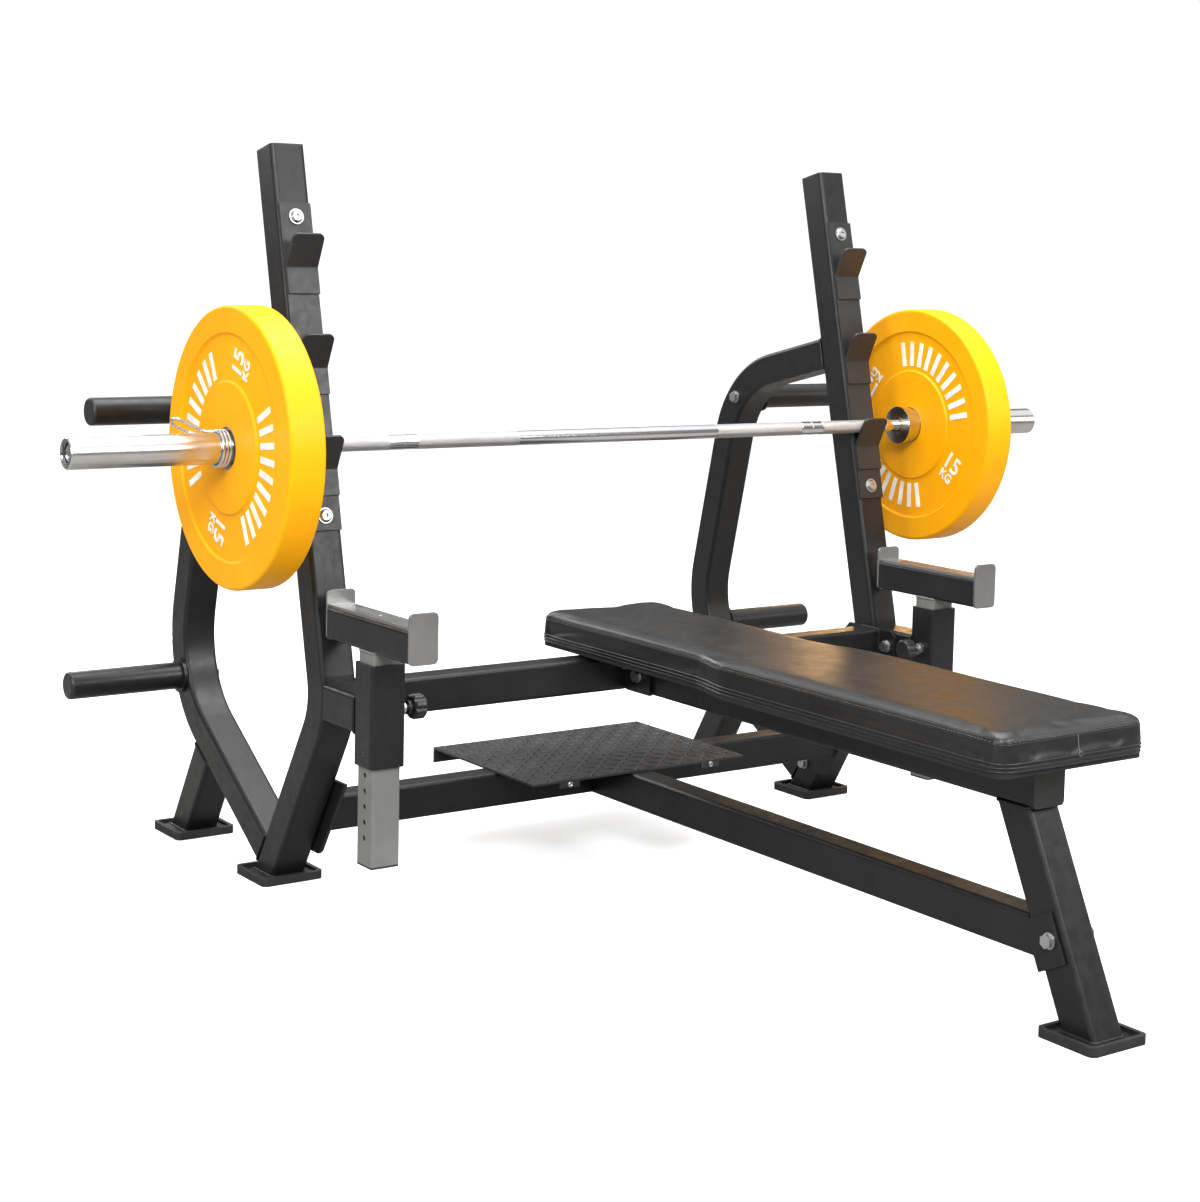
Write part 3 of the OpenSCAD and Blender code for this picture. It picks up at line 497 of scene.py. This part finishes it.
def tread():
    """Raised bars, turned one way and the other like a chequer."""
    low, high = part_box("standing_plate")
    bm = bmesh.new()
    columns = int((high.x - low.x) / TREAD_PITCH)
    rows = int((high.y - low.y - 0.006) / TREAD_PITCH)
    for i in range(columns):
        for j in range(rows):
            centre = Vector((low.x + (i + 0.5) * (high.x - low.x) / columns,
                             low.y + (j + 0.5) * (high.y - 0.004 - low.y) / rows, high.z))
            turn = math.radians(45 if (i + j) % 2 else -45)
            a = Vector((math.cos(turn), math.sin(turn), 0))
            b = Vector((-a.y, a.x, 0))
            base = [bm.verts.new(centre + a * u * TREAD_HALF_LONG + b * v * TREAD_HALF_WIDE)
                    for u, v in TREAD_OUTLINE]
            top = [bm.verts.new(centre + a * u * TREAD_HALF_LONG * TREAD_TOP_LONG
                                + b * v * TREAD_HALF_WIDE * TREAD_TOP_WIDE + Z * TREAD_RISE)
                   for u, v in TREAD_OUTLINE]
            bridge(bm, [base, top])
            bm.faces.new(top)
            bm.faces.new(base[::-1])
    piece("tread_bars", bm, "tread_paint", "rack", False)


# ---------------------------------------------------------------- screws
# The head's profile and socket, as shares of its radius and height
SCREW_PROFILE = ((1, 0), (1, 0.35), (0.86, 0.8), (0.6, 1), (0.42, 1), (0.40, 0.25))
STRIP_SCREW_R, STRIP_SCREW_H = 0.0048, 0.0018
PLATE_SCREW_R, PLATE_SCREW_H = 0.0055, 0.004


def screw_head(bm, centre, axis, radius, height):
    """A low domed head with a round socket, facing along axis."""
    side = axis.orthogonal().normalized()
    other = axis.cross(side)
    rings = [[bm.verts.new(centre + axis * (height * h)
                           + (side * math.cos(t) + other * math.sin(t)) * (radius * r))
              for t in circle(24)]
             for r, h in SCREW_PROFILE]
    bridge(bm, rings)
    bm.faces.new(rings[-1])
    bm.faces.new(rings[0][::-1])


def small_screws():
    for name, side in SIDES.items():
        bm = bmesh.new()
        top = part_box(f"catch_cradle_{name}")[1].z + STRIP_RISE
        for y in (-0.1, 0.0, 0.1):
            at = Vector((side * SIDE_X, CATCH_Y + y, top))
            screw_head(bm, at, Z, STRIP_SCREW_R, STRIP_SCREW_H)
        piece(f"strip_screws_{name}", bm, "zinc_steel", f"catch_{name}")
    bm = bmesh.new()
    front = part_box("standing_plate")[0].y
    for x in (-0.15, 0.15):
        at = Vector((x, front, BEAM_TOP - 0.004))
        screw_head(bm, at, -Y, PLATE_SCREW_R, PLATE_SCREW_H)
    piece("plate_screws", bm, "zinc_steel", "rack")


# ---------------------------------------------------------------- spring collars
WIRE = 0.0027
COIL_R = SLEEVE_R + WIRE
COIL_TURNS = 3
COIL_WIDE = 7
COIL_STEPS = 160
HANDLE_RUN, HANDLE_RISE, HANDLE_BEND = 0.062, 0.042, 0.009


def collar_points(side, x0):
    """A wound spring collar: a coil round the sleeve, with a hairpin handle at each end."""
    first_at, last_at = math.radians(50), math.radians(-10)
    outer = x0 + COIL_WIDE * WIRE

    def handle(angle, way):
        """The hairpin's points from the coil outwards, round its bend and half the way back."""
        root = round_bar(side * outer, COIL_R, angle)
        away = Vector((0, math.cos(angle), math.sin(angle)))
        across = Vector((0, -math.sin(angle), math.cos(angle))) * way
        leg = (X * side * HANDLE_RUN + away * HANDLE_RISE).normalized()
        points = [root + leg * HANDLE_RUN * t for t in (0.12, 0.3, 0.5, 0.7, 0.85)]
        for degrees in range(0, 181, 30):
            a = math.radians(degrees)
            reach = HANDLE_RUN - HANDLE_BEND + HANDLE_BEND * math.sin(a)
            points.append(root + leg * reach + across * HANDLE_BEND * (1 - math.cos(a)))
        return points + [root + leg * HANDLE_RUN * t + across * 2 * HANDLE_BEND
                         for t in (0.72, 0.6, 0.5)]

    turn_by = last_at - first_at + COIL_TURNS * 2 * math.pi
    travel = outer - x0 - WIRE
    coil = [round_bar(side * (x0 + WIRE + travel * k / COIL_STEPS), COIL_R,
                      first_at + turn_by * k / COIL_STEPS)
            for k in range(COIL_STEPS + 1)]
    # The coil's first points make way for the handle's curve into it
    return handle(first_at, -1)[::-1] + coil[4:] + handle(last_at, 1)


def spring_collars():
    for name, side in SIDES.items():
        low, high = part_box(f"spring_collar_{name}")
        points = collar_points(side, min(abs(low.x), abs(high.x)))
        curve = bpy.data.curves.new(f"collar_wire_{name}", "CURVE")
        curve.dimensions = "3D"
        curve.bevel_depth = WIRE
        curve.bevel_resolution = 4
        curve.use_fill_caps = True
        curve.resolution_u = 3
        spline = curve.splines.new("NURBS")
        spline.points.add(len(points) - 1)
        for target, p in zip(spline.points, points):
            target.co = (*p, 1)
        spline.order_u = 3
        spline.use_endpoint_u = True
        curve.materials.append(MATERIALS["spring_steel"])
        obj = add_object(f"collar_wire_{name}", curve)
        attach(obj, f"collar_{name}")
        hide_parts(f"spring_collar_{name}")


# ---------------------------------------------------------------- plate marks
# Places are in degrees round the plate's outer face
MARK_BARS = tuple(middle + step for middle in (-19, 161) for step in range(-45, 46, 10))
MARK_TEXTS = (71, 251)
MARK_R = 0.138
MARK_HALF = 0.0235
MARK_SINK, MARK_RISE = -0.0006, 0.0009
BAR_HALF = 0.0052
# Each line of the weight: what it says, its size, and how far it stands off the middle
WEIGHT_LINES = (("15", 0.047, 0.0125), ("KG", 0.025, -0.0175))
FACE_INSET = 0.004
INNER_TURN = 75


class PlateFace:
    """One face of a plate, and the marks that stand on it."""

    def __init__(self, name, side, where):
        low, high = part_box(f"weight_plate_{name}")
        near, far = sorted((abs(low.x), abs(high.x)))
        outer = where == "outer"
        self.label = f"{where}_{name}"
        self.body = f"plate_{name}"
        self.turned = 0 if outer else INNER_TURN
        self.out = X * side * (1 if outer else -1)
        self.right_way = Z.cross(self.out)
        x = far - FACE_INSET if outer else near + FACE_INSET
        self.centre = Vector((side * x, BAR_AT.y, BAR_AT.z))

    def directions(self, angle):
        """The ways outwards and round the plate at an angle."""
        t = math.radians(angle + self.turned)
        radial = self.right_way * math.cos(t) + Z * math.sin(t)
        return radial, Z * math.cos(t) - self.right_way * math.sin(t)

    def bar(self, bm, angle):
        radial, tangent = self.directions(angle)
        corners = ((-BAR_HALF, -MARK_HALF), (BAR_HALF, -MARK_HALF),
                   (BAR_HALF, MARK_HALF), (-BAR_HALF, MARK_HALF))
        loop = [self.centre + radial * (MARK_R + v) + tangent * u for u, v in corners]
        base, top = ([bm.verts.new(c + self.out * lift) for c in loop]
                     for lift in (MARK_SINK, MARK_RISE))
        bridge(bm, [base, top])
        bm.faces.new(top)
        bm.faces.new(base[::-1])

    def text(self, name, angle, word, size, shift):
        text = bpy.data.curves.new(name, "FONT")
        text.body = word
        text.align_x, text.align_y = "CENTER", "CENTER"
        text.size = size
        text.offset = 0.0006
        text.extrude = 0.0008
        text.materials.append(MATERIALS["white_mark"])
        obj = add_object(name, text)
        radial, tangent = self.directions(angle)
        at = self.centre + radial * MARK_R + tangent * shift + self.out * 0.0001
        obj.matrix_world = oriented(radial, tangent, self.out, at)
        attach(obj, self.body)


def plate_marks():
    """Generic raised marks on both faces: the plate's weight twice, and even bars between."""
    for name, side in SIDES.items():
        for where in ("outer", "inner"):
            face = PlateFace(name, side, where)
            bm = bmesh.new()
            for angle in MARK_BARS:
                face.bar(bm, angle)
            piece(f"plate_marks_{face.label}", bm, "white_mark", face.body, False)
            for index, angle in enumerate(MARK_TEXTS):
                for word, size, shift in WEIGHT_LINES:
                    face.text(f"plate_{word}_{face.label}_{index}", angle, word, size, shift)


# ---------------------------------------------------------------- barbell
SNAP_R, SNAP_WIRE, SNAP_INSET = 0.0185, 0.0011, 0.0045
SNAP_START, SNAP_TURN, SNAP_STEPS = 25, 310, 60
SHAFT_RINGS_X = (0.409, 0.4345, 0.460)
SHAFT_RING_WIRE = 0.0007


def sleeve_details():
    """The snap ring in each sleeve's end, and the rings turned in the shaft."""
    for name, side in SIDES.items():
        bm = bmesh.new()
        x = side * (cad_high.x - SNAP_INSET)
        ring = [round_bar(x, SNAP_R, math.radians(SNAP_START + SNAP_TURN * k / SNAP_STEPS))
                for k in range(SNAP_STEPS + 1)]
        tube_rings(bm, ring, SNAP_WIRE)
        piece(f"snap_ring_{name}", bm, "ring_steel", f"sleeve_{name}")
    bm = bmesh.new()
    for x in SHAFT_RINGS_X:
        for side in (-1, 1):
            ring = [round_bar(side * x, BAR_R - 0.0002, a) for a in circle(48)]
            tube_rings(bm, ring, SHAFT_RING_WIRE, 6, True)
    piece("shaft_rings", bm, "bar_chrome", "bar")


# ---------------------------------------------------------------- pad
PAD_LOW, PAD_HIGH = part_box("pad_cushion")
PAD_HALF_FOOT = PAD_HIGH.x
PAD_HALF_HEAD = 0.128
PAD_TAPER = (-0.156, -0.060)
PAD_CORNER, PAD_CORNER_LEAST = 0.022, 0.006
PAD_POINTS = 480
PAD_VOXEL = 0.0045
PAD_SWELL = 0.0035
SWELL_FRAMES = 20
WELT_HEIGHTS = (0.0065, 0.0118, 0.0171)
WELT_WIRE, SEAM_WIRE, STITCH_WIRE, CORD_WIRE = 0.0015, 0.0011, 0.0005, 0.0009
SEAM_DROP, STITCH_DROP = 0.0145, 0.0115
STITCH_PITCH, STITCH_HALF = 0.0068, 0.0023
END_SEAM_X, END_SEAM_RISE, END_SEAM_STEP, END_SEAM_POINTS = 0.005, 0.018, 0.0024, 12


def pad_outline(inset, step):
    """The pad's plan outline, evenly sampled, with an eased taper."""
    y0, y1 = PAD_LOW.y + inset, PAD_HIGH.y - inset
    wide, narrow = PAD_HALF_FOOT - inset, PAD_HALF_HEAD - inset
    r = max(PAD_CORNER - inset * 0.5, PAD_CORNER_LEAST)

    def corner(x, y, start):
        angles = [start + math.pi / 2 * k / 8 for k in range(9)]
        return [(x + r * math.cos(a), y + r * math.sin(a)) for a in angles]

    taper = []
    for k in range(13):
        t = k / 12
        ease = t * t * (3 - 2 * t)
        taper.append((wide + (narrow - wide) * ease,
                      PAD_TAPER[0] + (PAD_TAPER[1] - PAD_TAPER[0]) * t))
    right = corner(wide - r, y0 + r, -math.pi / 2) + taper + corner(narrow - r, y1 - r, 0)
    left = [(-x, y) for x, y in reversed(right)]
    return resample([Vector((x, y, 0)) for x, y in right + left], step)


def pad_start():
    """The pad before it swells: rings from the underside's rim up and over the top."""
    top, bottom = PAD_HIGH.z - 0.002, PAD_LOW.z
    rings = ((0.010, bottom), (0.0045, bottom + 0.002), (0.003, bottom + 0.010),
             (0.003, top - 0.012), (0.004, top - 0.005), (0.0075, top - 0.0015),
             (0.016, top - 0.0003), (0.040, top))
    bm = bmesh.new()
    loops = []
    for inset, z in rings:
        path = pad_outline(inset, 0.002)
        loops.append([bm.verts.new(path[int(k * len(path) / PAD_POINTS)] + Z * z)
                      for k in range(PAD_POINTS)])
    bridge(bm, loops)
    bm.faces.new(loops[-1])
    bm.faces.new(loops[0][::-1])
    bmesh.ops.triangulate(bm, faces=bm.faces)
    return bm


def swell(obj):
    """Cloth under light pressure, with the underside held where it rests on the board."""
    before = [v.co.copy() for v in obj.data.vertices]
    held = obj.vertex_groups.new(name="held")
    for v in obj.data.vertices:
        if v.co.z < PAD_LOW.z + 0.004:
            held.add([v.index], 1.0, "REPLACE")
    cloth = obj.modifiers.new("swell", "CLOTH")
    settings = cloth.settings
    settings.quality = 6
    settings.mass = 0.35
    settings.tension_stiffness = settings.compression_stiffness = 18
    settings.shear_stiffness = 8
    settings.bending_stiffness = 2.5
    settings.use_pressure = True
    settings.uniform_pressure_force = 4.0
    settings.effector_weights.gravity = 0.0
    settings.vertex_group_mass = "held"
    cloth.collision_settings.use_collision = False
    scene = bpy.context.scene
    scene.frame_start, scene.frame_end = 1, SWELL_FRAMES
    cloth.point_cache.frame_start, cloth.point_cache.frame_end = 1, SWELL_FRAMES
    for number in range(1, SWELL_FRAMES + 1):
        scene.frame_set(number)
    shaped = obj.evaluated_get(bpy.context.evaluated_depsgraph_get())
    after = [v.co.copy() for v in shaped.data.vertices]
    obj.modifiers.remove(cloth)
    scene.frame_set(1)
    for v, a, b in zip(obj.data.vertices, before, after):
        move = b - a
        if move.length > PAD_SWELL:
            move *= PAD_SWELL / move.length
        v.co = a + move


def wrinkle(obj):
    """Shallow creases where the cover is pulled round the taper and the corners."""
    # All normals are read before any point moves, because each move makes them all stale
    rest = [(v.co.copy(), v.normal.copy()) for v in obj.data.vertices]
    for v, (p, normal) in zip(obj.data.vertices, rest):
        if p.z < PAD_LOW.z + 0.008:
            continue
        side = max(0.0, abs(p.x) / PAD_HALF_HEAD - 0.62)
        near_taper = math.exp(-((p.y + 0.11) / 0.10) ** 2)
        near_end = (math.exp(-((p.y - PAD_LOW.y) / 0.09) ** 2)
                    + math.exp(-((p.y - PAD_HIGH.y) / 0.09) ** 2))
        amount = min(1.0, side) * (1.6 * near_taper + 0.9 * near_end) + 0.12
        fold = perlin(Vector((p.x * 60, p.y * 26 + p.x * 35 + p.z * 30, p.z * 25)))
        soft = perlin(Vector((p.x * 9, p.y * 5, 3.0)))
        v.co = p + normal * (0.0013 * amount * fold + 0.0005 * soft)


def modify(obj, name, kind, **settings):
    """Adds a modifier to the active object and applies it."""
    modifier = obj.modifiers.new(name, kind)
    for key, value in settings.items():
        setattr(modifier, key, value)
    bpy.ops.object.modifier_apply(modifier=name)


def pad():
    mesh = bpy.data.meshes.new("pad_cover")
    bm = pad_start()
    bm.to_mesh(mesh)
    bm.free()
    obj = add_object("pad_cover", mesh)
    mesh.materials.append(MATERIALS["black_vinyl"])
    bpy.context.view_layer.objects.active = obj
    obj.select_set(True)
    modify(obj, "remesh", "REMESH", mode="VOXEL", voxel_size=PAD_VOXEL)
    swell(obj)
    modify(obj, "even", "SMOOTH", factor=0.5, iterations=2)
    modify(obj, "finer", "SUBSURF", levels=1, render_levels=1)
    wrinkle(obj)
    for v in obj.data.vertices:
        v.co.z = max(PAD_LOW.z, v.co.z)
    obj.data.shade_smooth()
    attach(obj, "rack")
    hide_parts("pad_cushion")
    return obj


def on_pad(tree, height, step):
    """Points on the pad's side at one height, with their outward directions and the way on."""
    found = []
    loop = pad_outline(0.02, step)
    for i, p in enumerate(loop):
        ahead = loop[(i + 1) % len(loop)] - loop[i - 1]
        outward = Vector((ahead.y, -ahead.x, 0)).normalized()
        start = Vector((p.x, p.y, height)) + outward * 0.08
        hit, normal, _, _ = tree.ray_cast(start, -outward, 0.12)
        if hit:
            found.append((hit, normal, ahead.normalized()))
    return found


def pad_seams(cover):
    """Piping welts and a top seam round the side, a stitch line, and the foot end's seam."""
    bm = bmesh.new()
    bm.from_mesh(cover.data)
    tree = BVHTree.FromBMesh(bm)
    bm.free()
    welts = bmesh.new()
    for height in WELT_HEIGHTS:
        path = [hit + normal * 0.0002 for hit, normal, _ in on_pad(tree, PAD_LOW.z + height, 0.004)]
        tube_rings(welts, path, WELT_WIRE, 6, True)
    seam = [hit - normal * 0.0003
            for hit, normal, _ in on_pad(tree, PAD_HIGH.z - SEAM_DROP, 0.004)]
    tube_rings(welts, seam, SEAM_WIRE, 6, True)
    piece("pad_piping", welts, "black_vinyl", "rack")

    stitches = bmesh.new()
    for hit, normal, ahead in on_pad(tree, PAD_HIGH.z - STITCH_DROP, STITCH_PITCH):
        low = hit + normal * 0.0002
        ends = [low - ahead * STITCH_HALF, hit + normal * 0.0009, low + ahead * STITCH_HALF]
        tube_rings(stitches, ends, STITCH_WIRE, 5)
    end_seam = []
    for k in range(END_SEAM_POINTS):
        height = PAD_LOW.z + END_SEAM_RISE + k * END_SEAM_STEP
        start = Vector((END_SEAM_X, PAD_LOW.y - 0.05, height))
        hit, normal, _, _ = tree.ray_cast(start, Y, 0.1)
        if hit:
            end_seam.append(hit + normal * 0.0003)
    tube_rings(stitches, end_seam, CORD_WIRE, 6)
    knot = [end_seam[0] + X * 0.004 * math.cos(a) + Z * 0.003 * math.sin(a) - Y * 0.0008
            for a in circle(16)]
    tube_rings(stitches, knot, CORD_WIRE, 6, True)
    piece("pad_stitches", stitches, "thread", "rack")


# ---------------------------------------------------------------- camera and stage
FLOOR_R, COVE_R, WALL_TOP = 9.0, 3.0, 9.0
WORLD_COLOR, WORLD_STRENGTH = (0.96, 0.98, 1.0, 1), 1.35
WHITE = (1, 1, 1)
# Each light's name, place, target, size, power and colour
LIGHTS = (
    ("key", (-2.6, -3.0, 3.2), (-0.3, 0, 0.7), (1.8, 1.4), 150, WHITE),
    ("front", (0.9, -2.9, 2.1), (-0.5, 0.3, 0.9), (1.5, 1.1), 62, WHITE),
    ("top", (0.3, 0.2, 3.4), (0, 0, 0.4), (2.6, 1.8), 95, WHITE),
    ("warm", (1.85, 1.75, 0.9), (0.13, -0.25, 0.43), (0.4, 0.3), 3.5, (1.0, 0.55, 0.2)),
    ("fill", (3.6, -1.6, 1.6), (0, -0.2, 0.5), (1.4, 1.2), 26, (1.0, 0.93, 0.85)),
    ("side", (-3.6, -0.2, 1.5), (-0.6, 0.3, 0.8), (1.2, 1.2), 34, WHITE),
    ("back", (-0.6, 4.2, 2.2), (0, 0, 0.6), (3.0, 1.6), 60, WHITE),
)


def camera():
    az, pitch, roll = (math.radians(a) for a in CAMERA_TURN)
    ahead = Vector((-math.sin(az) * math.cos(pitch), math.cos(az) * math.cos(pitch),
                    -math.sin(pitch)))
    flat = Vector((math.cos(az), math.sin(az), 0))
    lift = flat.cross(ahead)
    right = flat * math.cos(roll) + lift * math.sin(roll)
    top = lift * math.cos(roll) - flat * math.sin(roll)
    data = bpy.data.cameras.new("camera")
    data.sensor_width = SENSOR
    data.lens = SENSOR * CAMERA_FOCAL / FRAME_LONG
    data.shift_x, data.shift_y = CAMERA_SHIFT
    data.clip_end = 200
    obj = add_object("camera", data)
    obj.matrix_world = oriented(right, top, -ahead, CAMERA_AT)
    bpy.context.scene.camera = obj


def area_light(name, at, towards, size, power, color):
    data = bpy.data.lights.new(name, "AREA")
    data.shape = "RECTANGLE"
    data.size, data.size_y = size
    data.energy = power
    data.color = color
    obj = add_object(name, data)
    obj.location = at
    obj.rotation_euler = (Vector(towards) - Vector(at)).to_track_quat("-Z", "Y").to_euler()


def pale_floor():
    """Near white where the camera sees it, and dimmer in the light it throws on the object."""
    pale = Shader("pale_floor", (0.9, 0.9, 0.9), 0.8, Specular_IOR_Level=0.1,
                  Emission_Color=(1, 1, 1, 1), Emission_Strength=0.45)
    pale.set("Base Color", pale.mix(pale.noise(1.5), (0.90, 0.90, 0.90), (0.88, 0.88, 0.88)))
    dim = pale.add("ShaderNodeBsdfDiffuse")
    dim.inputs["Color"].default_value = (0.30, 0.29, 0.28, 1)
    seen = pale.add("ShaderNodeMixShader")
    pale.link(pale.add("ShaderNodeLightPath").outputs["Is Camera Ray"], seen.inputs[0])
    pale.link(dim.outputs[0], seen.inputs[1])
    pale.link(pale.bsdf.outputs[0], seen.inputs[2])
    pale.link(seen.outputs[0], pale.tree.nodes["Material Output"].inputs["Surface"])
    return pale.material


def stage():
    """A pale floor that curves up into a wall all round, and seven soft lights."""
    bm = bmesh.new()
    cove = [(FLOOR_R + COVE_R * math.sin(a), COVE_R - COVE_R * math.cos(a))
            for a in (math.radians(d) for d in range(6, 91, 6))]
    profile = [(0.01, 0.0), (4.0, 0.0), (FLOOR_R, 0.0)] + cove + [(FLOOR_R + COVE_R, WALL_TOP)]
    rings = [[bm.verts.new((radius * math.cos(t), radius * math.sin(t), height))
              for t in circle(96)]
             for radius, height in profile]
    bridge(bm, rings)
    bm.faces.new(rings[0][::-1])
    mesh = bpy.data.meshes.new("floor")
    bm.to_mesh(mesh)
    bm.free()
    mesh.shade_smooth()
    mesh.materials.append(pale_floor())
    add_object("floor", mesh)
    world = bpy.data.worlds.new("studio")
    world.use_nodes = True
    back = world.node_tree.nodes["Background"]
    back.inputs["Color"].default_value = WORLD_COLOR
    back.inputs["Strength"].default_value = WORLD_STRENGTH
    bpy.context.scene.world = world
    for light in LIGHTS:
        area_light(*light)
    bpy.context.scene.view_settings.view_transform = "Standard"


camera()
stage()
frame_welds()
catch_welds()
tread()
small_screws()
spring_collars()
plate_marks()
sleeve_details()
pad_seams(pad())
